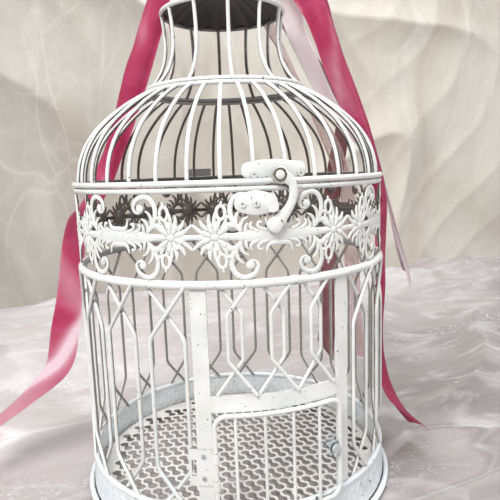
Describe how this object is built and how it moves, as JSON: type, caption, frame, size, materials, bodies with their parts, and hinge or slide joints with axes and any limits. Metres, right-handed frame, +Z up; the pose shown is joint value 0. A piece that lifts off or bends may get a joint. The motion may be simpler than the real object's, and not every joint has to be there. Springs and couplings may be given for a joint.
{
  "type": "birdcage card box",
  "caption": "Round wire birdcage card holder with a pierced band, a small front door, a hinged dome lid with a hook latch, and a ribbon bow on top.",
  "frame": {"origin": "middle of the flat foot, on the table", "axes": "+Z up through the eye, -Y to the front where the latch and the door are, +X to the right"},
  "size_m": [0.4557, 0.2818, 0.5006],
  "materials": {
    "white_paint": "satin, worn at the edges",
    "bare_metal": "dull",
    "raspberry_satin": "satin",
    "white_ribbon": "sheer satin",
    "dusty_ribbon": "satin",
    "lace": "open lace"
  },
  "bodies": {
    "cage": {"foot_ring": "white_paint", "base_band": "white_paint", "base_rim": "white_paint", "floor_ring": "white_paint", "floor_plate": "white_paint", "wall_wires": "white_paint", "over_door_wires": "white_paint", "door_post_left": "white_paint", "door_post_right": "white_paint", "door_lintel": "white_paint", "girdle_ring": "white_paint", "filigree_band": "white_paint", "body_top_ring": "white_paint", "strike_plate": "white_paint", "strike_screws": "bare_metal", "strike_stud": "bare_metal", "door_hinge_plate": "white_paint", "door_hinge_rivets": "bare_metal", "cage_hinge_leaf": "white_paint", "lid_hinge_pin": "bare_metal"},
    "lid": {"lid_ring": "white_paint", "lid_hinge_leaf": "white_paint", "dome_bars": "white_paint", "neck_ring_lower": "white_paint", "neck_ring_upper": "white_paint", "neck_bars": "white_paint", "cap_rim": "white_paint", "cap_shell": "white_paint", "finial": "white_paint", "top_eye": "white_paint", "latch_plate": "white_paint", "latch_screws": "bare_metal", "latch_rivet": "bare_metal"},
    "hook": {"latch_hook": "white_paint"},
    "door": {"door_stiles": "white_paint", "door_rails": "white_paint", "door_bars": "white_paint", "door_latch_bracket": "bare_metal"},
    "door_latch": {"door_latch_lever": "bare_metal", "door_latch_knob": "bare_metal"},
    "ribbons": {"ribbon_roll": "raspberry_satin", "bow_loops": "raspberry_satin", "tail_left": "raspberry_satin", "tail_right": "raspberry_satin", "tail_white": "white_ribbon", "tail_dusty": "dusty_ribbon", "tail_lace": "lace"}
  },
  "joints": [
    {"name": "lid_hinge", "type": "hinge", "parent": "cage", "child": "lid", "pos_m": [0, 0.1376, 0.26775], "axis": [-1, 0, 0], "range_deg": [0, 75]},
    {"name": "hook_swing", "type": "hinge", "parent": "lid", "child": "hook", "pos_m": [-0.00143, -0.13639, 0.2739], "axis": [-0.0105, -0.9999, 0], "range_deg": [0, 100]},
    {"name": "door_hinge", "type": "hinge", "parent": "cage", "child": "door", "pos_m": [-0.05157, -0.12767, 0.067], "axis": [0, 0, -1], "range_deg": [0, 110]},
    {"name": "door_latch_turn", "type": "hinge", "parent": "door", "child": "door_latch", "pos_m": [0.03729, -0.13271, 0.071], "axis": [0.3156, -0.9489, 0], "range_deg": [0, 90]},
    {"name": "ribbon_hang", "type": "hinge", "parent": "lid", "child": "ribbons", "pos_m": [0, 0, 0.4553], "axis": [-1, 0, 0], "range_deg": [-75, 0]}
  ],
  "couplings": [
    {"joint": "ribbon_hang", "follows": "lid_hinge", "ratio": -1}
  ]
}
